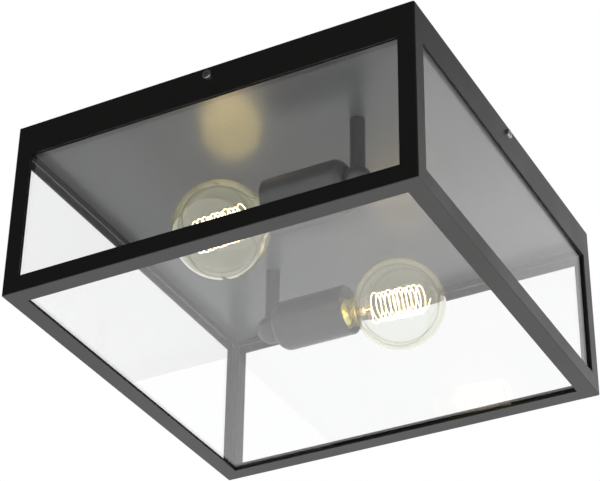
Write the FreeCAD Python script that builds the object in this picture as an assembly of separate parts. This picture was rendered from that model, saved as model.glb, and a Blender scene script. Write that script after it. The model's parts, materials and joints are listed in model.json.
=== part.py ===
import FreeCAD, Part
import math
import os

# Square porch ceiling lantern. Millimetres, +Z up, origin at the centre of the
# ceiling plane. The front side faces -Y, the right side faces +X.

V = FreeCAD.Vector
X_AXIS = V(1, 0, 0)
Y_AXIS = V(0, 1, 0)
Z_AXIS = V(0, 0, 1)
ORIGIN = V(0, 0, 0)

# Quarter turns that carry a piece made for the front side to the other sides
SIDES = {"front": 0, "right": 90, "back": 180, "left": 270}
# Half turn that carries a piece made for the back lamp to the front lamp
LAMPS = {"back": 0, "front": 180}

# Cage of folded sheet
cage_side = 360.0
cage_height = 162.3
sheet = 1.2
corner_round = 1.5
bottom_round = 1.0
band_height = 30.0
post_width = 14.5
rail_height = 15.0
rail_width = 15.0

# Glass and its seals
glass = 3.0
glass_corner = 2.0
seal = 1.0
seal_lip = 0.6
seal_inset = 1.0
side_lap = 6.7
end_lap = 7.5
bottom_lap = 7.0

# Ceiling tray
tray_gap = 3.8
tray_depth = 17.0
tray_sheet = 1.2
tray_round = 1.2

# Side screws, pan head with a cross recess, and their weld nuts
screw_drop = 7.2
screw_r = 2.0
screw_head_r = 4.0
screw_head_height = 2.2
screw_head_round = 1.0
screw_running_gap = 0.08
screw_tip_gap = 0.3
cross_length = 4.4
cross_width = 0.9
cross_depth = 1.2
weld_nut_side = 8.0
weld_nut_thick = 3.2

# Ceiling strap with its slots, studs and cap nuts
strap_length = 210.0
strap_width = 28.0
strap_thick = 2.0
slot_spacing = 88.9
slot_length = 18.0
slot_r = 2.4
stud_spacing = 170.0
stud_r = 2.0
stud_head_r = 3.2
stud_head_thick = 1.0
stud_hole_gap = 0.25
stud_engage = 5.0
cap_nut_flats = 7.0
cap_nut_hex = 3.2
cap_nut_height = 8.0

# Lamps: stem, elbow and sleeve
stem_x = 84.4
stem_y = 83.3
stem_r = 6.25
stem_wall = 1.0
lamp_drop = 76.7
elbow_r = 12.5
stem_seat = 10.7
sleeve_seat = 7.0
sleeve_r = 21.9
sleeve_wall = 1.5
sleeve_shoulder = 9.5
sleeve_mouth = 77.5
mouth_round = 1.0
pipe_r = 4.85
pipe_bore_r = 3.5
pipe_gap = 0.15
pipe_engage = 6.0
pipe_rise = 0.5
washer_r = 9.0
washer_thick = 1.0
locknut_flats = 14.0
locknut_thick = 3.0

# Bulb, measured from its solder tip along its own axis
globe_r = 40.0
globe_centre = 80.5
globe_wall = 0.8
neck_r = 12.0
neck_fillet = 14.0
neck_start = 28.0
tip_r = 4.6
tip_height = 1.6
insulator_r = 11.6
insulator_end = 4.0
cap_r = 13.2
cap_root_r = 12.7
cap_wall_r = 12.1
cap_end = 30.8
thread_pitch = 3.62
thread_start = 6.0
thread_turns = 4
mount_r = 3.6
mount_flare_r = 11.0
mount_flare_thick = 1.0
mount_bead_r = 4.4
mount_bead = 41.5
mount_end = 47.5
filament_start = 56.0
filament_length = 47.0
filament_turns = 8
filament_r = 12.5
filament_wire_r = 0.45
filament_clamp_r = 1.0
support_wire_r = 0.45
inner_gap = 0.1

# Bulb in its holder
tip_reach = 44.3
droop_angle = 3.7
droop_pivot = 18.0
contact_gap = 0.3
contact_thick = 0.8
contact_r = 5.0
rivet_r = 1.5
rivet_head_r = 2.6
rivet_head_thick = 1.6
shell_gap = 0.08
shell_wall = 0.5
shell_back = 0.5
shell_flange_r = 9.5
insert_wall = 2.6
insert_front = 24.5
insert_back = 28.0
insert_floor = 4.5
insert_back_wall = 5.0
insert_pocket_r = 11.0
lug_width = 4.0
lug_thick = 0.8
lug_reach = 9.0

# Wiring
block_length = 28.0
block_depth = 18.0
block_height = 10.0
block_pitch = 8.0
block_poles = 3
wire_hole_r = 1.8
wire_hole_depth = 7.0
wire_rise = 4.6
block_screw_r = 1.5
block_screw_height = 3.5
block_screw_inset = 4.0
lead_r = 1.1
lead_spread = 1.35
lead_bend = 4.0
lead_gap = 0.3
lead_clear = 5.6
earth_reach = 15.0
earth_stud_r = 2.0
earth_stud_height = 8.0
earth_nut_flats = 7.0
earth_nut_thick = 3.2
ring_r = 4.0
ring_thick = 0.8
ring_tab = 7.0
ring_tab_width = 3.2

# How near a plane an edge must lie to be picked for a fillet
edge_pick = 0.01

# Sizes that follow from the ones above
half = cage_side / 2
inner_half = half - sheet
window_half = half - post_width
opening_half = half - rail_width
tray_half = half - tray_gap - sheet
plate_bottom = -tray_depth
plate_top = plate_bottom + tray_sheet
lamp_z = -lamp_drop
window_top = -band_height
window_bottom = rail_height - cage_height
seal_face = inner_half - seal
rail_top = sheet - cage_height
shell_in_r = cap_r + shell_gap
shell_out_r = shell_in_r + shell_wall
insert_r = shell_out_r + insert_wall
contact_front = -contact_gap
contact_back = contact_front - contact_thick
floor_back = contact_back - insert_floor
pocket_back = -insert_back + insert_back_wall
rivet_end = floor_back - rivet_head_thick
earth_y = -block_depth / 2 - earth_reach


def box(x0, x1, y0, y1, z0, z1):
    return Part.makeBox(x1 - x0, y1 - y0, z1 - z0, V(x0, y0, z0))


def rod(radius, start, end):
    axis = end - start
    return Part.makeCylinder(radius, axis.Length, start, axis)


def tube(r_out, r_in, start, end):
    return rod(r_out, start, end).cut(rod(r_in, start, end))


def hexagon(flats, start, end):
    """Hexagonal prism between two points on a line along Z or X."""
    axis = end - start
    reach = flats / math.sqrt(3)
    corners = [V(reach * math.cos(math.radians(60 * k)), reach * math.sin(math.radians(60 * k)), 0)
               for k in range(7)]
    prism = Part.Face(Part.makePolygon(corners)).extrude(V(0, 0, axis.Length))
    prism.Placement = FreeCAD.Placement(start, FreeCAD.Rotation(Z_AXIS, axis))
    return prism


def turned(shape, angle):
    """Copy of a shape, turned about the lantern's vertical centre line."""
    copy = shape.copy()
    copy.rotate(ORIGIN, Z_AXIS, angle)
    return copy


def save(shape, name):
    shape.exportStep("parts/" + name + ".step")


def save_sides(shape, name):
    for side, angle in SIDES.items():
        save(turned(shape, angle), name + "_" + side)


def save_lamps(shape, name):
    for lamp, angle in LAMPS.items():
        save(turned(shape, angle), name + "_" + lamp)


def square_tube(outer_half, wall, z0, z1, radius):
    """Upright square tube with rounded outer corners."""
    outer = box(-outer_half, outer_half, -outer_half, outer_half, z0, z1)
    upright = [e for e in outer.Edges if abs(e.tangentAt(e.FirstParameter).z) > 0.5]
    outer = outer.makeFillet(radius, upright)
    core = outer_half - wall
    return outer.cut(box(-core, core, -core, core, z0, z1))


# ---- cage ----

def screw_hole(r):
    """Cutter along the front side screw."""
    return rod(r, V(0, -half - sheet, -screw_drop), V(0, -inner_half + weld_nut_thick, -screw_drop))


def top_band():
    band = square_tube(half, sheet, window_top, 0, corner_round)
    hole = screw_hole(screw_r + screw_running_gap)
    for angle in SIDES.values():
        band = band.cut(turned(hole, angle))
    return band


def corner_post():
    """Post at the corner between the front and the left side."""
    ring = square_tube(half, sheet, window_bottom, window_top, corner_round)
    corner = box(-half, -window_half, -half, -window_half, window_bottom, window_top)
    return ring.common(corner)


def bottom_frame():
    low = -cage_height
    block = box(-half, half, -half, half, low, window_bottom)
    upright = [e for e in block.Edges if abs(e.tangentAt(e.FirstParameter).z) > 0.5]
    block = block.makeFillet(corner_round, upright)
    under = [e for e in block.Edges if e.BoundBox.ZMax < low + edge_pick]
    block = block.makeFillet(bottom_round, under)
    tray = box(-inner_half, inner_half, -inner_half, inner_half, rail_top, window_bottom)
    opening = box(-opening_half, opening_half, -opening_half, opening_half, low, rail_top)
    return block.cut(tray).cut(opening)


def weld_nuts():
    y_in = -inner_half + weld_nut_thick
    reach = weld_nut_side / 2
    nut = box(-reach, reach, -inner_half, y_in, -screw_drop - reach, -screw_drop + reach)
    nut = nut.cut(screw_hole(screw_r + screw_running_gap))
    return Part.makeCompound([turned(nut, angle) for angle in SIDES.values()])


def side_screw():
    head_y = -half
    tip_y = -tray_half - screw_tip_gap
    shank = rod(screw_r, V(0, head_y, -screw_drop), V(0, tip_y, -screw_drop))
    head = rod(screw_head_r, V(0, head_y, -screw_drop), V(0, head_y - screw_head_height, -screw_drop))
    crown = [e for e in head.Edges if e.BoundBox.YMax < head_y - screw_head_height + edge_pick]
    head = head.makeFillet(screw_head_round, crown)
    y0 = head_y - screw_head_height
    y1 = y0 + cross_depth
    arm = cross_length / 2
    slim = cross_width / 2
    head = head.cut(box(-arm, arm, y0, y1, -screw_drop - slim, -screw_drop + slim))
    head = head.cut(box(-slim, slim, y0, y1, -screw_drop - arm, -screw_drop + arm))
    return head.fuse(shank).removeSplitter()


def rounded_plate(x_half, z0, z1, y0, y1):
    """Upright plate, centred on X, with rounded corners seen from the front."""
    plate = box(-x_half, x_half, y0, y1, z0, z1)
    corners = [e for e in plate.Edges if abs(e.tangentAt(e.FirstParameter).y) > 0.5]
    return plate.makeFillet(glass_corner, corners)


def side_pane():
    y0 = -seal_face
    return rounded_plate(window_half + side_lap, window_bottom - end_lap, window_top + end_lap, y0, y0 + glass)


def side_seal():
    y0 = -inner_half
    reach = window_half + side_lap - seal_inset
    low = window_bottom - end_lap + seal_inset
    high = window_top + end_lap - seal_inset
    plate = rounded_plate(reach, low, high, y0, y0 + seal)
    hole_half = window_half - seal_lip
    hole = box(-hole_half, hole_half, y0, y0 + seal, window_bottom + seal_lip, window_top - seal_lip)
    return plate.cut(hole)


def flat_square(reach, z0, z1):
    plate = box(-reach, reach, -reach, reach, z0, z1)
    corners = [e for e in plate.Edges if abs(e.tangentAt(e.FirstParameter).z) > 0.5]
    return plate.makeFillet(glass_corner, corners)


def bottom_pane():
    z0 = rail_top + seal
    return flat_square(opening_half + bottom_lap, z0, z0 + glass)


def bottom_seal():
    plate = flat_square(opening_half + bottom_lap - seal_inset, rail_top, rail_top + seal)
    inner = opening_half - seal_lip
    return plate.cut(box(-inner, inner, -inner, inner, rail_top, rail_top + seal))


def make_cage():
    save(top_band(), "top_band")
    save_sides(corner_post(), "corner_post")
    save(bottom_frame(), "bottom_frame")
    save(weld_nuts(), "weld_nuts")
    save_sides(side_pane(), "pane")
    save_sides(side_seal(), "seal")
    save(bottom_pane(), "pane_bottom")
    save(bottom_seal(), "seal_bottom")
    save_sides(side_screw(), "side_screw")


# ---- ceiling strap, tray and wiring ----

def stud_points(z):
    return [V(sign * stud_spacing / 2, 0, z) for sign in (-1, 1)]


def stem_points(z):
    return [turned_point(V(-stem_x, stem_y, z), angle) for angle in LAMPS.values()]


def turned_point(point, angle):
    return FreeCAD.Rotation(Z_AXIS, angle).multVec(point)


def slot(x):
    run = slot_length / 2 - slot_r
    low = V(x - run, 0, -strap_thick)
    high = V(x + run, 0, -strap_thick)
    cut = box(x - run, x + run, -slot_r, slot_r, -strap_thick, 0)
    for end in (low, high):
        cut = cut.fuse(rod(slot_r, end, V(end.x, end.y, 0)))
    return cut


def ceiling_strap():
    reach = strap_length / 2 - strap_width / 2
    width = strap_width / 2
    strap = box(-reach, reach, -width, width, -strap_thick, 0)
    for sign in (-1, 1):
        strap = strap.fuse(rod(width, V(sign * reach, 0, -strap_thick), V(sign * reach, 0, 0)))
        strap = strap.cut(slot(sign * slot_spacing / 2))
    for point in stud_points(-strap_thick):
        strap = strap.cut(rod(stud_r, point, V(point.x, 0, 0)))
        strap = strap.cut(rod(stud_head_r, V(point.x, 0, -stud_head_thick), V(point.x, 0, 0)))
    return strap.removeSplitter()


def strap_studs():
    studs = []
    for point in stud_points(0):
        shank = rod(stud_r, V(point.x, 0, plate_bottom - stud_engage), point)
        head = rod(stud_head_r, V(point.x, 0, -stud_head_thick), point)
        studs.append(shank.fuse(head).removeSplitter())
    return Part.makeCompound(studs)


def cap_nut(x):
    """Domed nut that hangs under the plate."""
    top = V(x, 0, plate_bottom)
    skirt = V(x, 0, plate_bottom - cap_nut_hex)
    nut = hexagon(cap_nut_flats, skirt, top)
    dome_r = cap_nut_flats / 2
    dome_z = plate_bottom - cap_nut_height + dome_r
    nut = nut.fuse(rod(dome_r, V(x, 0, dome_z), skirt))
    nut = nut.fuse(Part.makeSphere(dome_r, V(x, 0, dome_z)))
    return nut.cut(rod(stud_r, V(x, 0, plate_bottom - stud_engage), top)).removeSplitter()


def ceiling_tray():
    tray = box(-tray_half, tray_half, -tray_half, tray_half, plate_bottom, 0)
    upright = [e for e in tray.Edges if abs(e.tangentAt(e.FirstParameter).z) > 0.5]
    tray = tray.makeFillet(tray_round, upright)
    under = [e for e in tray.Edges if e.BoundBox.ZMax < plate_bottom + edge_pick]
    tray = tray.makeFillet(tray_round / 2, under)
    core = tray_half - tray_sheet
    tray = tray.cut(box(-core, core, -core, core, plate_top, 0))
    for point in stud_points(plate_bottom):
        tray = tray.cut(rod(stud_r + stud_hole_gap, point, V(point.x, 0, plate_top)))
    for point in stem_points(plate_bottom):
        tray = tray.cut(rod(pipe_r + pipe_gap, point, V(point.x, point.y, plate_top)))
    foot = V(0, earth_y, plate_top)
    return tray.fuse(rod(earth_stud_r, foot, foot + V(0, 0, earth_stud_height))).removeSplitter()


def pole_offsets():
    return [block_pitch * (k - (block_poles - 1) / 2) for k in range(block_poles)]


def block_screw(x, side):
    """Clamp screw of one end of a pole; side is -1 or 1 along Y."""
    y = side * (block_depth / 2 - block_screw_inset)
    top = plate_top + block_height
    return rod(block_screw_r, V(x, y, top - block_screw_height), V(x, y, top))


def terminal_block():
    length = block_length / 2
    depth = block_depth / 2
    block = box(-length, length, -depth, depth, plate_top, plate_top + block_height)
    wire_z = plate_top + wire_rise
    for x in pole_offsets():
        for side in (-1, 1):
            inner = V(x, side * (depth - wire_hole_depth), wire_z)
            block = block.cut(rod(wire_hole_r, inner, V(x, side * depth, wire_z)))
            block = block.cut(block_screw(x, side))
    return block


def terminal_screws():
    return Part.makeCompound([block_screw(x, side) for x in pole_offsets() for side in (-1, 1)])


def wire(points, radius, bend):
    """Round wire along straight runs joined by tangent arcs."""
    pieces = []
    start = points[0]
    for k in range(1, len(points) - 1):
        into = points[k] - points[k - 1]
        out = points[k + 1] - points[k]
        turn = into.getAngle(out)
        room = 0.45 * min(into.Length, out.Length)
        trim = min(room, bend * math.tan(turn / 2))
        into.normalize()
        out.normalize()
        arc_start = points[k] - into * trim
        arc_end = points[k] + out * trim
        bisector = (out - into).normalize()
        arc_r = trim / math.tan(turn / 2)
        centre_gap = arc_r / math.cos(turn / 2)
        middle = points[k] + bisector * (centre_gap - arc_r)
        pieces.append(Part.LineSegment(start, arc_start).toShape())
        pieces.append(Part.Arc(arc_start, middle, arc_end).toShape())
        start = arc_end
    pieces.append(Part.LineSegment(start, points[-1]).toShape())
    path = Part.Wire(pieces)
    heading = points[1] - points[0]
    section = Part.Wire(Part.makeCircle(radius, points[0], heading))
    return path.makePipeShell([section], True, False)


def lamp_lead(side):
    """One lead of the back lamp; side is -1 or 1 and picks the contact it serves."""
    centre = V(-stem_x, stem_y, lamp_z)
    offset = side * lead_spread
    wire_z = plate_top + wire_rise
    over_z = -lead_clear
    pole_x = -side * block_pitch
    entry_y = block_depth / 2
    points = [
        V(pole_x, entry_y - wire_hole_depth + 2 * lead_r, wire_z),
        V(pole_x, entry_y + 3 * block_pitch, wire_z),
        V(-stem_x + 4 * block_pitch, stem_y + offset, over_z),
        V(-stem_x, stem_y + offset, over_z),
        V(-stem_x, stem_y + offset, lamp_z),
    ]
    if side > 0:
        points.append(centre + V(tip_reach + rivet_end - lead_gap, offset, 0))
    else:
        bend_x = droop_pivot + 2 * pipe_rise + insert_back_wall
        lug_x = tip_reach - lug_reach
        lug_y = -(insert_pocket_r - lug_thick - lead_r - lead_gap - shell_wall)
        points.append(centre + V(bend_x, offset, 0))
        points.append(centre + V(lug_x, lug_y, 0))
    return wire(points, lead_r, lead_bend)


def lamp_leads():
    return Part.makeCompound([lamp_lead(-1), lamp_lead(1)])


def earth_nut():
    foot = V(0, earth_y, plate_top + ring_thick)
    nut = hexagon(earth_nut_flats, foot, foot + V(0, 0, earth_nut_thick))
    return nut.cut(rod(earth_stud_r, foot, foot + V(0, 0, earth_nut_thick)))


def earth_lead():
    """Ring with a flat tab on the tray's stud, and the wire from the tab to the block."""
    foot = V(0, earth_y, plate_top)
    ring_top = plate_top + ring_thick
    entry = -block_depth / 2
    tab = ring_tab_width / 2
    ring = rod(ring_r, foot, foot + V(0, 0, ring_thick))
    ring = ring.fuse(box(-tab, tab, earth_y, earth_y + ring_tab, plate_top, ring_top))
    ring = ring.cut(rod(earth_stud_r, foot, foot + V(0, 0, ring_thick)))
    wire_z = plate_top + wire_rise
    points = [
        V(0, entry + wire_hole_depth - 2 * lead_r, wire_z),
        V(0, entry - lead_r, wire_z),
        V(0, earth_y + ring_tab, ring_top + lead_r / 2),
        V(0, earth_y + ring_r + lead_r, ring_top + lead_r / 2),
    ]
    lead = wire(points, lead_r, lead_bend)
    floor = box(-lead_r, lead_r, earth_y, entry, plate_top - lead_r, plate_top)
    return ring.fuse(lead.cut(floor)).removeSplitter()


def make_ceiling():
    save(ceiling_strap(), "ceiling_strap")
    save(strap_studs(), "strap_studs")
    save(Part.makeCompound([cap_nut(p.x) for p in stud_points(0)]), "cap_nuts")
    save(ceiling_tray(), "ceiling_tray")
    save(terminal_block(), "terminal_block")
    save(terminal_screws(), "terminal_screws")
    save_lamps(lamp_leads(), "leads")
    save(earth_nut(), "earth_nut")
    save(earth_lead(), "earth_lead")


# ---- lamps, each made in its own frame: elbow's centre at zero, mouth towards +X ----

def on_stem(shape):
    """Moves a lamp-frame piece to the back lamp."""
    copy = shape.copy()
    copy.translate(V(-stem_x, stem_y, lamp_z))
    return copy


def drooped(shape):
    """Moves a bulb-frame piece into the back lamp, sagging about the insert's thread."""
    copy = shape.copy()
    copy.translate(V(tip_reach, 0, 0))
    copy.rotate(V(droop_pivot, 0, 0), Y_AXIS, droop_angle)
    return on_stem(copy)


def revolved(outline):
    """Solid of revolution about X from (x, radius) points."""
    corners = [V(x, 0, r) for x, r in outline]
    corners.append(corners[0])
    return Part.Face(Part.makePolygon(corners)).revolve(ORIGIN, X_AXIS, 360)


def stem():
    low = V(0, 0, stem_seat)
    high = V(0, 0, plate_bottom - lamp_z)
    return on_stem(tube(stem_r, stem_r - stem_wall, low, high))


def washer_top():
    return plate_top + washer_thick - lamp_z


def threaded_pipe():
    low = V(0, 0, stem_seat - pipe_engage)
    high = V(0, 0, washer_top() + locknut_thick + pipe_rise)
    return on_stem(tube(pipe_r, pipe_bore_r, low, high))


def stem_washers():
    base = V(0, 0, plate_top - lamp_z)
    washer = on_stem(tube(washer_r, pipe_r + pipe_gap, base, V(0, 0, washer_top())))
    return Part.makeCompound([turned(washer, angle) for angle in LAMPS.values()])


def locknut(start, end):
    return hexagon(locknut_flats, start, end).cut(rod(pipe_r, start, end))


def locknuts():
    over_tray = locknut(V(0, 0, washer_top()), V(0, 0, washer_top() + locknut_thick))
    seat = sleeve_seat + sleeve_wall
    in_sleeve = locknut(V(seat, 0, 0), V(seat + locknut_thick, 0, 0))
    nuts = []
    for nut in (over_tray, in_sleeve):
        nuts += [turned(on_stem(nut), angle) for angle in LAMPS.values()]
    return Part.makeCompound(nuts)


def elbow():
    """Ball with a seat for the stem on top and a threaded spigot into the sleeve."""
    ball = Part.makeSphere(elbow_r)
    ball = ball.cut(box(-elbow_r, elbow_r, -elbow_r, elbow_r, stem_seat, elbow_r))
    ball = ball.cut(box(sleeve_seat, elbow_r, -elbow_r, elbow_r, -elbow_r, elbow_r))
    spigot_end = V(droop_pivot + insert_back_wall / 2 + pipe_rise, 0, 0)
    ball = ball.fuse(rod(pipe_r, ORIGIN, spigot_end))
    ball = ball.cut(rod(pipe_r, V(0, 0, stem_seat - pipe_engage), V(0, 0, elbow_r)))
    ball = ball.cut(rod(pipe_bore_r, ORIGIN, V(0, 0, elbow_r)))
    ball = ball.cut(Part.makeSphere(pipe_bore_r))
    return on_stem(ball.cut(rod(pipe_bore_r, ORIGIN, spigot_end)).removeSplitter())


def sleeve():
    shoulder = sleeve_r - sleeve_shoulder
    back = V(sleeve_seat, 0, 0)
    body = rod(sleeve_r, back, V(sleeve_mouth, 0, 0))
    rear = [e for e in body.Edges if e.BoundBox.XMax < sleeve_seat + edge_pick]
    body = body.makeFillet(sleeve_r - shoulder, rear)
    lip = [e for e in body.Edges if e.BoundBox.XMin > sleeve_mouth - edge_pick]
    body = body.makeFillet(mouth_round, lip)
    inner_r = sleeve_r - sleeve_wall
    core = rod(inner_r, V(sleeve_seat + sleeve_wall, 0, 0), V(sleeve_mouth, 0, 0))
    rear = [e for e in core.Edges if e.BoundBox.XMax < sleeve_seat + sleeve_wall + edge_pick]
    core = core.makeFillet(sleeve_shoulder - sleeve_wall, rear)
    hole = rod(pipe_r, back, V(sleeve_seat + sleeve_wall, 0, 0))
    return on_stem(body.cut(core).cut(hole))


def lug(margin):
    """Flat tail of the screw shell that runs back through the insert's floor."""
    outer = -(insert_pocket_r - shell_wall) - margin
    inner = outer + lug_thick + 2 * margin
    side = lug_width / 2 + margin
    return box(-lug_reach - margin, shell_back + shell_wall, outer, inner, -side, side)


def socket_insert():
    """Ceramic insert: front bore for the shell, floor, rear pocket for the leads."""
    outline = [
        (-insert_back, pipe_r + 2 * pipe_gap),
        (-insert_back, insert_r),
        (insert_front, insert_r),
        (insert_front, shell_out_r),
        (shell_back, shell_out_r),
        (shell_back, contact_r + inner_gap),
        (contact_back, contact_r + inner_gap),
        (contact_back, rivet_r),
        (floor_back, rivet_r),
        (floor_back, insert_pocket_r),
        (pocket_back, insert_pocket_r),
        (pocket_back, pipe_r + 2 * pipe_gap),
    ]
    return drooped(revolved(outline).cut(lug(inner_gap)))


def screw_shell():
    front = insert_front + shell_wall
    outline = [
        (shell_back, shell_flange_r),
        (shell_back, shell_out_r),
        (front, shell_out_r),
        (front, shell_in_r),
        (shell_back + shell_wall, shell_in_r),
        (shell_back + shell_wall, shell_flange_r),
    ]
    return drooped(revolved(outline).fuse(lug(0)).removeSplitter())


def centre_contact():
    outline = [
        (contact_front, 0),
        (contact_front, contact_r),
        (contact_back, contact_r),
        (contact_back, rivet_r),
        (floor_back, rivet_r),
        (floor_back, rivet_head_r),
        (rivet_end, rivet_head_r),
        (rivet_end, 0),
    ]
    return drooped(revolved(outline))


def bulb_glass():
    """Globe whose neck runs into the sphere through a hollow curve."""
    fillet_r = neck_r + neck_fillet
    reach = globe_r + neck_fillet
    bend_x = globe_centre - math.sqrt(reach ** 2 - fillet_r ** 2)
    solids = []
    for inset in (0, globe_wall):
        r = globe_r - inset
        share = r / reach
        join = V(globe_centre - (globe_centre - bend_x) * share, 0, fillet_r * share)
        curve_r = neck_fillet + inset
        neck = neck_r - inset
        bend = V(bend_x, 0, neck)
        centre = V(bend_x, 0, fillet_r)
        middle = centre + (((join - centre) + (bend - centre)).normalize() * curve_r)
        crown = V(globe_centre, 0, r)
        pole = V(globe_centre + r, 0, 0)
        side = V(globe_centre + r * math.sqrt(0.5), 0, r * math.sqrt(0.5))
        rising = V(globe_centre - r * math.sin(0.4), 0, r * math.cos(0.4))
        edges = [
            Part.LineSegment(V(neck_start, 0, 0), V(neck_start, 0, neck)).toShape(),
            Part.LineSegment(V(neck_start, 0, neck), bend).toShape(),
            Part.Arc(bend, middle, join).toShape(),
            Part.Arc(join, rising, crown).toShape(),
            Part.Arc(crown, side, pole).toShape(),
            Part.LineSegment(pole, V(neck_start, 0, 0)).toShape(),
        ]
        solids.append(Part.Face(Part.Wire(edges)).revolve(ORIGIN, X_AXIS, 360))
    return drooped(solids[0].cut(solids[1]))


def bulb_tip():
    tip = rod(tip_r, ORIGIN, V(tip_height, 0, 0))
    nose = [e for e in tip.Edges if e.BoundBox.XMax < edge_pick]
    return drooped(tip.makeFillet(tip_height / 2, nose))


def bulb_insulator():
    outline = [
        (tip_height, 0),
        (tip_height, tip_r),
        (insulator_end, insulator_r),
        (insulator_end, 0),
    ]
    return drooped(revolved(outline))


def bulb_cap():
    """Screw cap with rolled thread ridges and a plain skirt."""
    outline = [(insulator_end, cap_wall_r), (insulator_end, cap_root_r)]
    x = thread_start
    for turn in range(thread_turns):
        outline.append((x, cap_root_r))
        outline.append((x + thread_pitch / 3, cap_r))
        outline.append((x + thread_pitch / 2, cap_r))
        x += thread_pitch
    outline.append((x, cap_root_r))
    outline.append((cap_end - globe_wall, cap_root_r))
    outline.append((cap_end - globe_wall, cap_r))
    outline.append((cap_end, cap_r))
    outline.append((cap_end, cap_wall_r))
    return drooped(revolved(outline))


def bulb_mount():
    """Glass stem that carries the filament, with its flare and bead."""
    outline = [
        (neck_start, 0),
        (neck_start, mount_flare_r),
        (neck_start + mount_flare_thick, mount_flare_r),
        (neck_start + mount_flare_r, mount_r),
        (mount_bead, mount_r),
        (mount_bead + mount_flare_thick, mount_bead_r),
        (mount_end - mount_flare_thick, mount_bead_r),
        (mount_end, mount_r),
        (mount_end, 0),
    ]
    return drooped(revolved(outline))


def rod_path(points, radius):
    path = rod(radius, points[0], points[1])
    for k in range(1, len(points) - 1):
        path = path.fuse(Part.makeSphere(radius, points[k]))
        path = path.fuse(rod(radius, points[k], points[k + 1]))
    return path


def filament_clamp(x, side):
    """Half ball whose flat face covers one end of the coil, on the side of it that the coil leaves free."""
    return Part.makeSphere(filament_clamp_r, V(x, 0, -filament_r), V(0, side, 0), 0, 90)


def bulb_filament():
    """Spiral clamped at both ends, one wire to its near end, one along the axis to its far end."""
    pitch = filament_length / filament_turns
    helix = Part.makeHelix(pitch, filament_length, filament_r)
    section = Part.Wire(Part.makeCircle(filament_wire_r, V(filament_r, 0, 0), Y_AXIS))
    coil = Part.Wire(helix).makePipeShell([section], True, True)
    coil.rotate(ORIGIN, Y_AXIS, 90)
    coil.translate(V(filament_start, 0, 0))
    near = V(filament_start, -filament_clamp_r / 2, -filament_r)
    far = V(filament_start + filament_length, filament_clamp_r / 2, -filament_r)
    root = V(mount_end + support_wire_r, 0, 0)
    foot = V(mount_end, 0, 0)
    hub = V(filament_start + filament_length, 0, 0)
    wires = rod_path([foot, root, near], support_wire_r).fuse(rod_path([root, hub, far], support_wire_r))
    wires = wires.fuse(filament_clamp(filament_start, -1))
    wires = wires.fuse(filament_clamp(filament_start + filament_length, 1))
    return drooped(wires.fuse(coil).removeSplitter())


def make_lamps():
    save_lamps(stem(), "stem")
    save_lamps(threaded_pipe(), "stem_pipe")
    save(stem_washers(), "stem_washers")
    save(locknuts(), "locknuts")
    save_lamps(elbow(), "elbow")
    save_lamps(sleeve(), "sleeve")
    save_lamps(socket_insert(), "socket_insert")
    save_lamps(screw_shell(), "screw_shell")
    save_lamps(centre_contact(), "centre_contact")
    save_lamps(bulb_glass(), "bulb_glass")
    save_lamps(bulb_tip(), "bulb_tip")
    save_lamps(bulb_insulator(), "bulb_insulator")
    save_lamps(bulb_cap(), "bulb_cap")
    save_lamps(bulb_mount(), "bulb_mount")
    save_lamps(bulb_filament(), "bulb_filament")


os.makedirs("parts", exist_ok=True)
make_ceiling()
make_lamps()
make_cage()
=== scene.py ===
import json
import math

import bmesh
import bpy
from mathutils import Matrix, Vector


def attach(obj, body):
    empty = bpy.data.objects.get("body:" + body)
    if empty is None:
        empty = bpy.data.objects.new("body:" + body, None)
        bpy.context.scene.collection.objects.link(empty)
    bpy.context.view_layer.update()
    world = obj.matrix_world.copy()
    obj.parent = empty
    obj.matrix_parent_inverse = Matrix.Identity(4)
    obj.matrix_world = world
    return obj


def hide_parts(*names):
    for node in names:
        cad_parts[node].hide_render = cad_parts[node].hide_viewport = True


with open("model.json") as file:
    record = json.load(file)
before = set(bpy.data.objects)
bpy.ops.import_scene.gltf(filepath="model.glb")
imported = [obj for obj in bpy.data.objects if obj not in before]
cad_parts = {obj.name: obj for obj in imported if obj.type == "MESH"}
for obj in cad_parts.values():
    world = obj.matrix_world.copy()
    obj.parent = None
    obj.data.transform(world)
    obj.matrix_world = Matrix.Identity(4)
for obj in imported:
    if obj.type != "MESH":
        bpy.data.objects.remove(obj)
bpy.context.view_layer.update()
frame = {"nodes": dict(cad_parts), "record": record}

# ---- sizes, in metres, in the lantern's frame: ceiling plane at zero, +Z up ----

CAMERA_PLACE = Vector((0.65742, -1.23504, -0.97616))
CAMERA_AIM = Vector((0.00627, -0.03429, -0.08))
CAMERA_ROLL = math.radians(0.864)
CAMERA_LENS = 119.37

STEM_PLACE = Vector((-0.0844, 0.0833, 0))
LAMP_Z = -0.0767
TIP_REACH = 0.0443
DROOP_PIVOT = 0.018
DROOP = math.radians(3.7)
HALF_TURN = {"back": 0.0, "front": math.pi}

GLOBE_R = 0.040
GLOBE_CENTRE = 0.0805
GLOBE_WALL = 0.0008
NECK_R = 0.012
NECK_FILLET = 0.014
NECK_START = 0.028
CAP_R = 0.0132
CAP_ROOT_R = 0.0126
CAP_WALL_R = 0.0121
CAP_START = 0.004
CAP_END = 0.0308
THREAD_PITCH = 0.00362
THREAD_START = 0.0062
THREAD_END = 0.0215
CAP_RIM = 0.0009
FLARE_END = 0.0330
BEAD_START = 0.0402
FILAMENT_WIRE_R = 0.00042

FLOOR_Z = -2.3

# ---- light ----

# The globe glass's own glow is painted light, as if the filament lit the glass.
GLOBE_PAINTED_GLOW = 0.030
FILAMENT_GLOW = 5.0

# Reflected surroundings: dark where a direction's Y minus Z is under the first value, white over the second.
STUDIO_DARK = 0.07
STUDIO_FADE = (-0.03, 0.33)

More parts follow.
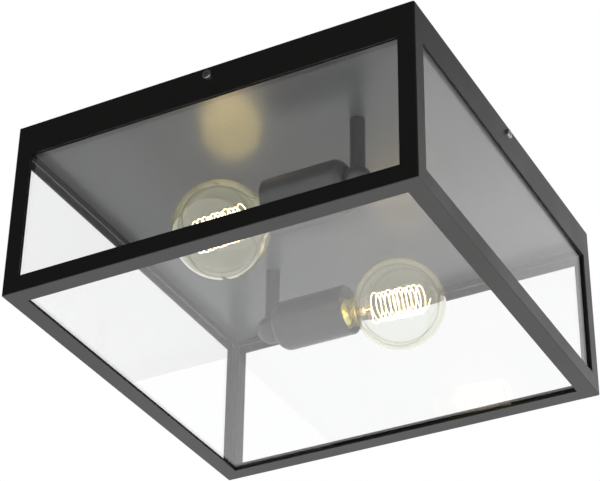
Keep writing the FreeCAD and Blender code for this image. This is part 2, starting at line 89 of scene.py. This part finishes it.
# Each bulb's light stands close under the plate, above the globe, so that the globe doesn't mirror it.
# ALONG is on the bulb's own axis, SHIFT in the lantern's frame.
BULB_LIGHT_ALONG = 0.0795
BULB_LIGHT_SHIFT = Vector((0.012, -0.011, 0.042))
BULB_LIGHT_SIZE = (0.050, 0.092)
BULB_LIGHT_TURN = math.radians(28.5)
BULB_LIGHT_COLOUR = (1.0, 0.77, 0.24)
BULB_POWER = {"back": 0.006, "front": 0.031}


# ---- placing ----

def lamp_matrix(lamp):
    """From the lamp's own frame, mouth towards +X, to the lantern's frame."""
    elbow = Matrix.Translation(STEM_PLACE + Vector((0, 0, LAMP_Z)))
    return Matrix.Rotation(HALF_TURN[lamp], 4, "Z") @ elbow


def bulb_matrix(lamp):
    """From the bulb's own frame, solder tip at zero, to the lantern's frame."""
    pivot = Matrix.Translation((DROOP_PIVOT, 0, 0))
    sag = pivot @ Matrix.Rotation(DROOP, 4, "Y") @ pivot.inverted()
    return lamp_matrix(lamp) @ sag @ Matrix.Translation((TIP_REACH, 0, 0))


def finished_piece(name, mesh, place, material, body, slot, *nodes):
    """Puts a new piece where its CAD nodes are and lets it ride with them."""
    mesh.transform(place)
    if material:
        mesh.materials.append(material)
    piece = bpy.data.objects.new(name, mesh)
    bpy.context.scene.collection.objects.link(piece)
    for face in mesh.polygons:
        face.use_smooth = True
    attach(piece, body)
    if nodes:
        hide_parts(*nodes)
    return piece


# ---- mesh makers ----

def turned_mesh(name, outline, segments=96):
    """Solid turned about X from a closed outline of (x, radius) points."""
    form = bmesh.new()
    rows = []
    for x, r in outline:
        if r < 1e-6:
            rows.append([form.verts.new((x, 0, 0))])
            continue
        angles = [2 * math.pi * k / segments for k in range(segments)]
        rows.append([form.verts.new((x, r * math.cos(a), r * math.sin(a))) for a in angles])
    for here, there in zip(rows, rows[1:] + rows[:1]):
        if len(here) == 1 and len(there) == 1:
            continue
        for k in range(segments):
            after = (k + 1) % segments
            if len(here) == 1:
                form.faces.new((here[0], there[after], there[k]))
            elif len(there) == 1:
                form.faces.new((here[k], here[after], there[0]))
            else:
                form.faces.new((here[k], here[after], there[after], there[k]))
    bmesh.ops.recalc_face_normals(form, faces=form.faces)
    mesh = bpy.data.meshes.new(name)
    form.to_mesh(mesh)
    form.free()
    return mesh


def wire_mesh(name, path, radius, sides=10):
    """Round wire along a list of points, closed at both ends."""
    form = bmesh.new()
    rings = []
    normal = None
    for k, point in enumerate(path):
        ahead = path[min(k + 1, len(path) - 1)] - path[max(k - 1, 0)]
        ahead.normalize()
        if normal is None:
            normal = ahead.orthogonal().normalized()
        normal = (normal - ahead * normal.dot(ahead)).normalized()
        side = ahead.cross(normal)
        ring = []
        for j in range(sides):
            a = 2 * math.pi * j / sides
            ring.append(form.verts.new(point + radius * (normal * math.cos(a) + side * math.sin(a))))
        rings.append(ring)
    for here, there in zip(rings, rings[1:]):
        for j in range(sides):
            after = (j + 1) % sides
            form.faces.new((here[j], here[after], there[after], there[j]))
    form.faces.new(list(reversed(rings[0])))
    form.faces.new(rings[-1])
    bmesh.ops.recalc_face_normals(form, faces=form.faces)
    mesh = bpy.data.meshes.new(name)
    form.to_mesh(mesh)
    form.free()
    return mesh


def arc(cx, cr, radius, start, end, steps):
    """Points of an arc in the (x, radius) plane; angles in degrees from +X."""
    points = []
    for k in range(steps + 1):
        a = math.radians(start + (end - start) * k / steps)
        points.append((cx + radius * math.cos(a), cr + radius * math.sin(a)))
    return points


# ---- shader groups ----

def new_group(name, inputs, outputs):
    group = bpy.data.node_groups.new(name, "ShaderNodeTree")
    for label, kind, value in inputs:
        socket = group.interface.new_socket(name=label, in_out="INPUT", socket_type=kind)
        socket.default_value = value
    for label, kind in outputs:
        group.interface.new_socket(name=label, in_out="OUTPUT", socket_type=kind)
    start = group.nodes.new("NodeGroupInput")
    end = group.nodes.new("NodeGroupOutput")
    return group, start, end


def node(tree, kind, **settings):
    made = tree.nodes.new(kind)
    for key, value in settings.items():
        setattr(made, key, value)
    return made


def link(tree, source, target):
    tree.links.new(source, target)


def coat_texture_group():
    """Fine orange peel of a baked powder coat: a height and a small tone change."""
    group, start, end = new_group(
        "coat_texture",
        [("Grain Size", "NodeSocketFloat", 900.0), ("Cloud Size", "NodeSocketFloat", 12.0)],
        [("Height", "NodeSocketFloat"), ("Cloud", "NodeSocketFloat")],
    )
    place = node(group, "ShaderNodeTexCoord")
    grain = node(group, "ShaderNodeTexNoise")
    grain.inputs["Detail"].default_value = 2.0
    grain.inputs["Roughness"].default_value = 0.45
    cloud = node(group, "ShaderNodeTexNoise")
    cloud.inputs["Detail"].default_value = 4.0
    link(group, place.outputs["Object"], grain.inputs["Vector"])
    link(group, place.outputs["Object"], cloud.inputs["Vector"])
    link(group, start.outputs["Grain Size"], grain.inputs["Scale"])
    link(group, start.outputs["Cloud Size"], cloud.inputs["Scale"])
    link(group, grain.outputs["Fac"], end.inputs["Height"])
    link(group, cloud.outputs["Fac"], end.inputs["Cloud"])
    return group


def edge_wear_group():
    """Mask that is 1 on outer edges, broken up by noise."""
    group, start, end = new_group(
        "edge_wear",
        [("Width", "NodeSocketFloat", 0.0008), ("Break Up", "NodeSocketFloat", 60.0)],
        [("Mask", "NodeSocketFloat")],
    )
    place = node(group, "ShaderNodeTexCoord")
    bevel = node(group, "ShaderNodeBevel", samples=4)
    facing = node(group, "ShaderNodeNewGeometry")
    turn = node(group, "ShaderNodeVectorMath", operation="DOT_PRODUCT")
    noise = node(group, "ShaderNodeTexNoise")
    noise.inputs["Detail"].default_value = 3.0
    edge = node(group, "ShaderNodeMapRange")
    edge.inputs["From Min"].default_value = 0.985
    edge.inputs["From Max"].default_value = 0.90
    both = node(group, "ShaderNodeMath", operation="MULTIPLY")
    link(group, start.outputs["Width"], bevel.inputs["Radius"])
    link(group, start.outputs["Break Up"], noise.inputs["Scale"])
    link(group, place.outputs["Object"], noise.inputs["Vector"])
    link(group, bevel.outputs["Normal"], turn.inputs[0])
    link(group, facing.outputs["True Normal"], turn.inputs[1])
    link(group, turn.outputs["Value"], edge.inputs["Value"])
    link(group, edge.outputs["Result"], both.inputs[0])
    link(group, noise.outputs["Fac"], both.inputs[1])
    link(group, both.outputs["Value"], end.inputs["Mask"])
    return group


COAT_TEXTURE = coat_texture_group()
EDGE_WEAR = edge_wear_group()


def placed_group(tree, group, **values):
    made = node(tree, "ShaderNodeGroup", node_tree=group)
    for label, value in values.items():
        made.inputs[label.replace("_", " ")].default_value = value
    return made


def new_material(name):
    material = bpy.data.materials.new(name)
    material.use_nodes = True
    tree = material.node_tree
    return material, tree, tree.nodes["Principled BSDF"], tree.nodes["Material Output"]


def colour_mix(tree, factor, low, high, target):
    mix = node(tree, "ShaderNodeMix", data_type="RGBA")
    mix.inputs["A"].default_value = (*low, 1)
    mix.inputs["B"].default_value = (*high, 1)
    link(tree, factor, mix.inputs["Factor"])
    link(tree, mix.outputs["Result"], target)


def value_range(tree, source, low, high, target):
    spread = node(tree, "ShaderNodeMapRange")
    spread.inputs["From Min"].default_value = 0.3
    spread.inputs["From Max"].default_value = 0.7
    spread.inputs["To Min"].default_value = low
    spread.inputs["To Max"].default_value = high
    link(tree, source, spread.inputs["Value"])
    link(tree, spread.outputs["Result"], target)


def bump(tree, height, strength, distance, shader):
    made = node(tree, "ShaderNodeBump")
    made.inputs["Strength"].default_value = strength
    made.inputs["Distance"].default_value = distance
    link(tree, height, made.inputs["Height"])
    link(tree, made.outputs["Normal"], shader.inputs["Normal"])


# ---- finishes ----

def powder_coat(name, dark, light, rough_low, rough_high, index, peel):
    """Satin black powder coat with a faint peel and slightly paler edges."""
    material, tree, shader, _ = new_material(name)
    texture = placed_group(tree, COAT_TEXTURE, Grain_Size=1600.0, Cloud_Size=14.0)
    wear = placed_group(tree, EDGE_WEAR, Width=0.0006, Break_Up=90.0)
    worn = node(tree, "ShaderNodeMix", data_type="RGBA")
    worn.inputs["B"].default_value = (*[min(1.0, 2.2 * c) for c in light], 1)
    colour_mix(tree, texture.outputs["Cloud"], dark, light, worn.inputs["A"])
    link(tree, wear.outputs["Mask"], worn.inputs["Factor"])
    link(tree, worn.outputs["Result"], shader.inputs["Base Color"])
    value_range(tree, texture.outputs["Cloud"], rough_low, rough_high, shader.inputs["Roughness"])
    bump(tree, texture.outputs["Height"], peel, 0.0004, shader)
    shader.inputs["IOR"].default_value = index
    return material


def metal(name, dark, light, rough_low, rough_high, cloud=40.0):
    material, tree, shader, _ = new_material(name)
    texture = placed_group(tree, COAT_TEXTURE, Grain_Size=700.0, Cloud_Size=cloud)
    colour_mix(tree, texture.outputs["Cloud"], dark, light, shader.inputs["Base Color"])
    value_range(tree, texture.outputs["Cloud"], rough_low, rough_high, shader.inputs["Roughness"])
    bump(tree, texture.outputs["Height"], 0.08, 0.0002, shader)
    shader.inputs["Metallic"].default_value = 1.0
    return material


def plain_solid(name, dark, light, rough_low, rough_high, grain=600.0, cloud=60.0, relief=0.15):
    """Rubber, nylon, porcelain and sleeving: no metal, a soft grain."""
    material, tree, shader, _ = new_material(name)
    texture = placed_group(tree, COAT_TEXTURE, Grain_Size=grain, Cloud_Size=cloud)
    colour_mix(tree, texture.outputs["Cloud"], dark, light, shader.inputs["Base Color"])
    value_range(tree, texture.outputs["Cloud"], rough_low, rough_high, shader.inputs["Roughness"])
    bump(tree, texture.outputs["Height"], relief, 0.0003, shader)
    return material


def let_light_through(tree, shader, out):
    """Shadow rays pass glass, so that lamps light what is behind it."""
    clear = node(tree, "ShaderNodeBsdfTransparent")
    clear.inputs["Color"].default_value = (0.93, 0.93, 0.93, 1)
    path = node(tree, "ShaderNodeLightPath")
    choose = node(tree, "ShaderNodeMixShader")
    link(tree, path.outputs["Is Shadow Ray"], choose.inputs["Fac"])
    link(tree, shader.outputs["BSDF"], choose.inputs[1])
    link(tree, clear.outputs["BSDF"], choose.inputs[2])
    link(tree, choose.outputs["Shader"], out.inputs["Surface"])


def pane_glass(name, index):
    """Clear float glass with a barely wavy surface."""
    material, tree, shader, out = new_material(name)
    texture = placed_group(tree, COAT_TEXTURE, Grain_Size=9.0, Cloud_Size=5.0)
    colour_mix(
        tree, texture.outputs["Cloud"], (0.993, 0.996, 0.998), (0.999, 1.0, 1.0), shader.inputs["Base Color"]
    )
    value_range(tree, texture.outputs["Cloud"], 0.0, 0.004, shader.inputs["Roughness"])
    bump(tree, texture.outputs["Height"], 0.01, 0.0004, shader)
    shader.inputs["IOR"].default_value = index
    shader.inputs["Transmission Weight"].default_value = 1.0
    let_light_through(tree, shader, out)
    return material


def colour_ramp(tree, factor, stops, target):
    ramp = node(tree, "ShaderNodeValToRGB")
    points = ramp.color_ramp.elements
    points.remove(points[1])
    points[0].position = stops[0][0]
    points[0].color = (*stops[0][1], 1)
    for place, colour in stops[1:]:
        points.new(place).color = (*colour, 1)
    link(tree, factor, ramp.inputs["Fac"])
    link(tree, ramp.outputs["Color"], target)


def globe_glass():
    """Amber-coated bulb glass: a faint painted glow of the lit filament on the glass itself, deepens to the
    rim, with one darker ring of painted shade inside.
    """
    material, tree, shader, out = new_material("globe_glass")
    texture = placed_group(tree, COAT_TEXTURE, Grain_Size=120.0, Cloud_Size=25.0)
    facing = node(tree, "ShaderNodeLayerWeight")
    facing.inputs["Blend"].default_value = 0.5
    # Amber of the glass, deeper to the rim, and at 0.475 a ring of painted shade set by viewing angle.
    tints_and_painted_ring = [
        (0.0, (0.90, 0.92, 0.93)),
        (0.440, (0.90, 0.92, 0.93)),
        (0.475, (0.48, 0.49, 0.44)),
        (0.510, (0.91, 0.92, 0.88)),
        (0.80, (0.90, 0.89, 0.76)),
        (1.0, (0.82, 0.76, 0.46)),
    ]
    # Colour of the painted glow on the glass, warmer to the rim.
    painted_glows = [
        (0.0, (1.0, 0.86, 0.24)),
        (0.45, (1.0, 0.86, 0.24)),
        (1.0, (1.0, 0.84, 0.16)),
    ]
    colour_ramp(tree, facing.outputs["Facing"], tints_and_painted_ring, shader.inputs["Base Color"])
    colour_ramp(tree, facing.outputs["Facing"], painted_glows, shader.inputs["Emission Color"])
    shader.inputs["Emission Strength"].default_value = GLOBE_PAINTED_GLOW
    value_range(tree, texture.outputs["Cloud"], 0.0, 0.01, shader.inputs["Roughness"])
    bump(tree, texture.outputs["Height"], 0.02, 0.0003, shader)
    shader.inputs["IOR"].default_value = 1.47
    shader.inputs["Transmission Weight"].default_value = 1.0
    let_light_through(tree, shader, out)
    return material


def mount_glass():
    material, tree, shader, out = new_material("mount_glass")
    texture = placed_group(tree, COAT_TEXTURE, Grain_Size=300.0, Cloud_Size=80.0)
    colour_mix(
        tree, texture.outputs["Cloud"], (0.95, 0.93, 0.86), (0.98, 0.97, 0.92), shader.inputs["Base Color"]
    )
    value_range(tree, texture.outputs["Cloud"], 0.02, 0.08, shader.inputs["Roughness"])
    bump(tree, texture.outputs["Height"], 0.05, 0.0003, shader)
    shader.inputs["IOR"].default_value = 1.5
    shader.inputs["Transmission Weight"].default_value = 1.0
    let_light_through(tree, shader, out)
    return material


def glowing_wire():
    """Carbon-coloured wire, white-hot with a slightly uneven glow."""
    material, tree, shader, _ = new_material("filament_glow")
    texture = placed_group(tree, COAT_TEXTURE, Grain_Size=900.0, Cloud_Size=60.0)
    colour_mix(tree, texture.outputs["Cloud"], (0.9, 0.7, 0.4), (1.0, 0.85, 0.6), shader.inputs["Base Color"])
    colour_mix(
        tree, texture.outputs["Cloud"], (1.0, 0.66, 0.30), (1.0, 0.84, 0.56), shader.inputs["Emission Color"]
    )
    shader.inputs["Emission Strength"].default_value = FILAMENT_GLOW
    shader.inputs["Roughness"].default_value = 0.6
    return material


CAGE_COAT = powder_coat(
    "cage_coat", (0.015, 0.015, 0.014), (0.021, 0.021, 0.019), 0.36, 0.46, index=1.68, peel=0.008
)
TRAY_COAT = powder_coat(
    "tray_coat", (0.092, 0.096, 0.100), (0.106, 0.110, 0.114), 0.29, 0.33, index=1.74, peel=0.004
)
LAMP_COAT = powder_coat(
    "lamp_coat", (0.012, 0.013, 0.014), (0.017, 0.018, 0.019), 0.36, 0.42, index=1.70, peel=0.002
)
PANE_GLASS = pane_glass("pane_glass", 1.40)
BOTTOM_GLASS = pane_glass("bottom_glass", 1.68)
GLOBE_GLASS = globe_glass()
MOUNT_GLASS = mount_glass()
FILAMENT = glowing_wire()
CAP_BRASS = metal("cap_brass", (0.80, 0.66, 0.26), (0.92, 0.80, 0.40), 0.16, 0.32)
# Gold of the mount's flare: painted reflection of the brass cap's walls lit by the filament, and partly the
# cement at the neck.
FLARE_CEMENT_AND_REFLECTION = metal("flare_cement_and_reflection", (0.92, 0.80, 0.20), (1.0, 0.92, 0.36), 0.24, 0.42, cloud=260.0)
BEAD_AMBER = metal("bead_amber", (0.80, 0.50, 0.24), (0.98, 0.74, 0.44), 0.18, 0.36, cloud=400.0)
CONTACT_BRASS = metal("contact_brass", (0.60, 0.44, 0.18), (0.72, 0.55, 0.25), 0.25, 0.4)
SCREW_STEEL = metal("screw_steel", (0.50, 0.50, 0.49), (0.64, 0.64, 0.62), 0.34, 0.50)
STRAP_STEEL = metal("strap_steel", (0.46, 0.46, 0.45), (0.62, 0.62, 0.60), 0.28, 0.45)
WELD_STEEL = metal("weld_steel", (0.36, 0.36, 0.35), (0.48, 0.48, 0.46), 0.35, 0.5)
TIP_SOLDER = metal("tip_solder", (0.45, 0.45, 0.46), (0.58, 0.58, 0.58), 0.3, 0.5)
SEAL_RUBBER = plain_solid("seal_rubber", (0.004, 0.004, 0.004), (0.008, 0.008, 0.008), 0.60, 0.78)
BLOCK_NYLON = plain_solid("block_nylon", (0.70, 0.68, 0.62), (0.78, 0.77, 0.72), 0.4, 0.55)
INSERT_CERAMIC = plain_solid("insert_ceramic", (0.34, 0.34, 0.32), (0.42, 0.41, 0.39), 0.3, 0.5)
INSULATOR = plain_solid(
    "insulator_glass", (0.010, 0.010, 0.012), (0.020, 0.020, 0.022), 0.1, 0.2, relief=0.05
)
LEAD_SLEEVE = plain_solid(
    "lead_sleeve", (0.72, 0.70, 0.64), (0.85, 0.84, 0.78), 0.7, 0.85, grain=2500.0, relief=0.5
)
EARTH_SLEEVE = plain_solid("earth_sleeve", (0.12, 0.36, 0.05), (0.62, 0.62, 0.06), 0.4, 0.55, cloud=120.0)

FINISHES = {
    "cage_paint": CAGE_COAT,
    "tray_paint": TRAY_COAT,
    "lamp_paint": LAMP_COAT,
    "pane_glass": PANE_GLASS,
    "seal_rubber": SEAL_RUBBER,
    "weld_steel": WELD_STEEL,
    "screw_steel": SCREW_STEEL,
    "strap_steel": STRAP_STEEL,
    "block_nylon": BLOCK_NYLON,
    "lead_sleeve": LEAD_SLEEVE,
    "earth_sleeve": EARTH_SLEEVE,
    "insert_ceramic": INSERT_CERAMIC,
    "contact_brass": CONTACT_BRASS,
    "globe_glass": GLOBE_GLASS,
    "mount_glass": MOUNT_GLASS,
    "cap_brass": CAP_BRASS,
    "tip_solder": TIP_SOLDER,
    "insulator_glass": INSULATOR,
    "filament_wire": FILAMENT,
}


def finish_cad_nodes():
    slots = {row["node"]: row["material_slot"] for row in frame["record"]["subparts"]}
    for name, solid in frame["nodes"].items():
        for place in solid.material_slots:
            place.material = FINISHES[slots[name]]
    for place in frame["nodes"]["pane_bottom"].material_slots:
        place.material = BOTTOM_GLASS


# ---- bulbs ----

def globe_outline():
    """Outer wall from the neck to the crown, then the inner wall back."""
    reach = GLOBE_R + NECK_FILLET
    rise = NECK_R + NECK_FILLET
    bend_x = GLOBE_CENTRE - math.sqrt(reach ** 2 - rise ** 2)
    lean = math.degrees(math.atan2(rise, bend_x - GLOBE_CENTRE))
    outline = []
    for inset in (0.0, GLOBE_WALL):
        wall = [(NECK_START, NECK_R - inset)]
        wall += arc(bend_x, rise, NECK_FILLET + inset, -90, lean - 180, 14)
        wall += arc(GLOBE_CENTRE, 0, GLOBE_R - inset, lean, 0, 56)[1:]
        wall[-1] = (GLOBE_CENTRE + GLOBE_R - inset, 0.0)
        outline += wall if inset == 0.0 else wall[::-1]
    return outline


def screw_cap_mesh():
    """Rolled screw cap: a real thread on the outside, a plain skirt and a turned rim."""
    segments = 72
    steps = 150
    form = bmesh.new()
    rings = []
    for k in range(steps + 1):
        x = CAP_START + (CAP_END - CAP_START) * k / steps
        ring = []
        for j in range(segments):
            a = 2 * math.pi * j / segments
            turn = (x - THREAD_START) / THREAD_PITCH - j / segments
            ramp = min(1.0, max(0.0, (x - THREAD_START) / THREAD_PITCH))
            ramp = min(ramp, max(0.0, (THREAD_END - x) / THREAD_PITCH))
            swell = 0.5 + 0.5 * math.cos(2 * math.pi * turn)
            r = CAP_ROOT_R + (CAP_R - CAP_ROOT_R) * swell * ramp
            if x > CAP_END - CAP_RIM:
                r = CAP_R
            ring.append(form.verts.new((x, r * math.cos(a), r * math.sin(a))))
        rings.append(ring)
    for x in (CAP_END, CAP_START):
        angles = [2 * math.pi * j / segments for j in range(segments)]
        places = [(x, CAP_WALL_R * math.cos(a), CAP_WALL_R * math.sin(a)) for a in angles]
        rings.append([form.verts.new(place) for place in places])
    for here, there in zip(rings, rings[1:] + rings[:1]):
        for j in range(segments):
            after = (j + 1) % segments
            form.faces.new((here[j], here[after], there[after], there[j]))
    bmesh.ops.recalc_face_normals(form, faces=form.faces)
    mesh = bpy.data.meshes.new("screw_cap")
    form.to_mesh(mesh)
    form.free()
    return mesh


def mount_outline():
    """Flare, waist and bead; closed along the axis."""
    return [
        (0.0280, 0.0),
        (0.0280, 0.0110),
        (0.0298, 0.0112),
        (0.0304, 0.0104),
        (0.0308, 0.0080),
        (0.0318, 0.0060),
        (0.0340, 0.0050),
        (0.0370, 0.0046),
        (0.0390, 0.0038),
        (0.0405, 0.0035),
        (0.0415, 0.0038),
        (0.0425, 0.0044),
        (0.0455, 0.0044),
        (0.0468, 0.0040),
        (0.0475, 0.0030),
        (0.0475, 0.0),
    ]


def finish_mount(mesh):
    """Flare at the cap's end in gold, a painted reflection of the brass cap lit by the filament together with
    some cement at the neck; clear stem, amber bead; the mesh is still in the bulb's frame.
    """
    for material in (MOUNT_GLASS, FLARE_CEMENT_AND_REFLECTION, BEAD_AMBER):
        mesh.materials.append(material)
    for face in mesh.polygons:
        if face.center.x < FLARE_END:
            face.material_index = 1
        elif face.center.x > BEAD_START:
            face.material_index = 2


def spiral_path():
    """Filament: from the bead along the axis, a spiral about it, and a tail past the far end."""
    turns = 11
    start = 0.056
    length = 0.047
    coil_r = 0.0125
    steps = turns * 32
    points = [Vector((0.0472, 0.0, 0.0)), Vector((0.0535, 0.0, 0.0)), Vector((0.0550, 0.0, -0.006))]
    for k in range(steps + 1):
        share = k / steps
        a = 2 * math.pi * turns * share
        x = start + length * (share + 0.055 * math.sin(2 * math.pi * share) / math.pi)
        r = coil_r * (1.0 + 0.04 * math.sin(3.7 * a / turns + 1.0) + 0.025 * math.sin(0.63 * a))
        points.append(Vector((x, r * math.sin(a), -r * math.cos(a))))
    points.append(Vector((start + length + 0.003, 0.004, -0.007)))
    points.append(Vector((start + length + 0.005, 0.004, 0.001)))
    return points


def make_bulb(lamp):
    body = "bulb_" + lamp
    place = bulb_matrix(lamp)
    globe = turned_mesh("globe_" + lamp, globe_outline(), 128)
    finished_piece("globe_" + lamp, globe, place, GLOBE_GLASS, body, "globe_glass", "bulb_glass_" + lamp)
    cap = screw_cap_mesh()
    finished_piece("screw_cap_" + lamp, cap, place, CAP_BRASS, body, "cap_brass", "bulb_cap_" + lamp)
    mount = turned_mesh("glass_mount_" + lamp, mount_outline(), 48)
    finish_mount(mount)
    finished_piece("glass_mount_" + lamp, mount, place, None, body, "mount_glass", "bulb_mount_" + lamp)
    spiral = wire_mesh("filament_" + lamp, spiral_path(), FILAMENT_WIRE_R)
    finished_piece(
        "filament_" + lamp, spiral, place, FILAMENT, body, "filament_wire", "bulb_filament_" + lamp
    )


# ---- lamp holders ----

def sleeve_outline():
    outer = 0.0219
    wall = 0.0015
    seat = 0.007
    mouth = 0.0775
    shoulder = 0.0095
    lip = 0.00105
    points = [(seat, 0.00485)]
    points += arc(seat + shoulder, outer - shoulder, shoulder, 180, 90, 16)
    points += arc(mouth - lip, outer - lip, lip, 90, 0, 6)
    points.append((mouth, outer - wall))
    points += arc(seat + shoulder, outer - shoulder, shoulder - wall, 90, 180, 12)
    points.append((seat + wall, 0.00485))
    return points


def make_sleeve(lamp):
    sleeve = turned_mesh("lamp_sleeve_" + lamp, sleeve_outline(), 96)
    place = lamp_matrix(lamp)
    finished_piece(
        "lamp_sleeve_" + lamp, sleeve, place, LAMP_COAT, "ceiling_side", "lamp_paint", "sleeve_" + lamp
    )


# ---- studio ----

def make_camera():
    data = bpy.data.cameras.new("photo_camera")
    data.lens = CAMERA_LENS
    data.sensor_width = 36.0
    data.clip_end = 50.0
    camera = bpy.data.objects.new("photo_camera", data)
    look = (CAMERA_AIM - CAMERA_PLACE).to_track_quat("-Z", "Y").to_matrix().to_4x4()
    camera.matrix_world = Matrix.Translation(CAMERA_PLACE) @ look @ Matrix.Rotation(CAMERA_ROLL, 4, "Z")
    bpy.context.scene.collection.objects.link(camera)
    bpy.context.scene.camera = camera


def make_world():
    """White studio: plain white to the camera, darker behind and above the camera in reflections."""
    world = bpy.data.worlds.new("white_studio")
    bpy.context.scene.world = world
    world.use_nodes = True
    tree = world.node_tree
    background = tree.nodes["Background"]
    place = node(tree, "ShaderNodeTexCoord")
    parts = node(tree, "ShaderNodeSeparateXYZ")
    link(tree, place.outputs["Generated"], parts.inputs["Vector"])
    rise = node(tree, "ShaderNodeMath", operation="SUBTRACT")
    link(tree, parts.outputs["Y"], rise.inputs[0])
    link(tree, parts.outputs["Z"], rise.inputs[1])
    shade = node(tree, "ShaderNodeMapRange", interpolation_type="SMOOTHSTEP")
    shade.inputs["From Min"].default_value = STUDIO_FADE[0]
    shade.inputs["From Max"].default_value = STUDIO_FADE[1]
    shade.inputs["To Min"].default_value = STUDIO_DARK
    shade.inputs["To Max"].default_value = 1.0
    link(tree, rise.outputs["Value"], shade.inputs["Value"])
    path = node(tree, "ShaderNodeLightPath")
    plain = node(tree, "ShaderNodeMath", operation="MAXIMUM")
    link(tree, path.outputs["Is Camera Ray"], plain.inputs[0])
    link(tree, path.outputs["Is Transmission Ray"], plain.inputs[1])
    level = node(tree, "ShaderNodeMix", data_type="FLOAT")
    link(tree, plain.outputs["Value"], level.inputs["Factor"])
    link(tree, shade.outputs["Result"], level.inputs["A"])
    level.inputs["B"].default_value = 1.0
    link(tree, level.outputs["Result"], background.inputs["Strength"])
    background.inputs["Color"].default_value = (1, 1, 1, 1)


def area_light(name, place, aim, size, power):
    data = bpy.data.lights.new(name, "AREA")
    data.shape = "DISK"
    data.size = size
    data.energy = power
    lamp = bpy.data.objects.new(name, data)
    lamp.location = place
    lamp.rotation_euler = (Vector(aim) - Vector(place)).to_track_quat("-Z", "Y").to_euler()
    bpy.context.scene.collection.objects.link(lamp)


def make_floor():
    """Pale round floor far under the lantern; glass and reflections see it as white."""
    form = bmesh.new()
    bmesh.ops.create_circle(form, cap_ends=True, segments=96, radius=3.0)
    mesh = bpy.data.meshes.new("studio_floor")
    form.to_mesh(mesh)
    form.free()
    floor = bpy.data.objects.new("studio_floor", mesh)
    floor.location = (0, 0, FLOOR_Z)
    bpy.context.scene.collection.objects.link(floor)
    material, tree, shader, out = new_material("pale_floor")
    texture = placed_group(tree, COAT_TEXTURE, Grain_Size=40.0, Cloud_Size=1.5)
    colour_mix(
        tree, texture.outputs["Cloud"], (0.84, 0.84, 0.84), (0.87, 0.87, 0.87), shader.inputs["Base Color"]
    )
    shader.inputs["Roughness"].default_value = 0.9
    glow = node(tree, "ShaderNodeEmission")
    path = node(tree, "ShaderNodeLightPath")
    seen = node(tree, "ShaderNodeMath", operation="MAXIMUM")
    link(tree, path.outputs["Is Glossy Ray"], seen.inputs[0])
    link(tree, path.outputs["Is Transmission Ray"], seen.inputs[1])
    choose = node(tree, "ShaderNodeMixShader")
    link(tree, seen.outputs["Value"], choose.inputs["Fac"])
    link(tree, shader.outputs["BSDF"], choose.inputs[1])
    link(tree, glow.outputs["Emission"], choose.inputs[2])
    link(tree, choose.outputs["Shader"], out.inputs["Surface"])
    mesh.materials.append(material)


def bulb_light(lamp):
    """Warm light of one bulb on the plate above it, seen only in reflections."""
    data = bpy.data.lights.new("bulb_light_" + lamp, "AREA")
    data.shape = "ELLIPSE"
    data.size, data.size_y = BULB_LIGHT_SIZE
    data.energy = BULB_POWER[lamp]
    data.color = BULB_LIGHT_COLOUR
    light = bpy.data.objects.new("bulb_light_" + lamp, data)
    light.location = bulb_matrix(lamp) @ Vector((BULB_LIGHT_ALONG, 0, 0)) + BULB_LIGHT_SHIFT
    light.rotation_euler = (math.pi, 0, BULB_LIGHT_TURN)
    light.visible_camera = False
    light.visible_diffuse = False
    light.visible_transmission = False
    bpy.context.scene.collection.objects.link(light)


make_camera()
make_world()
make_floor()
area_light("soft_key", (1.6, -1.2, -1.9), (0, 0, -0.08), 1.4, 14.0)
finish_cad_nodes()
for lamp_name in ("back", "front"):
    make_bulb(lamp_name)
    make_sleeve(lamp_name)
    bulb_light(lamp_name)

view = bpy.context.scene.view_settings
view.view_transform = "Standard"
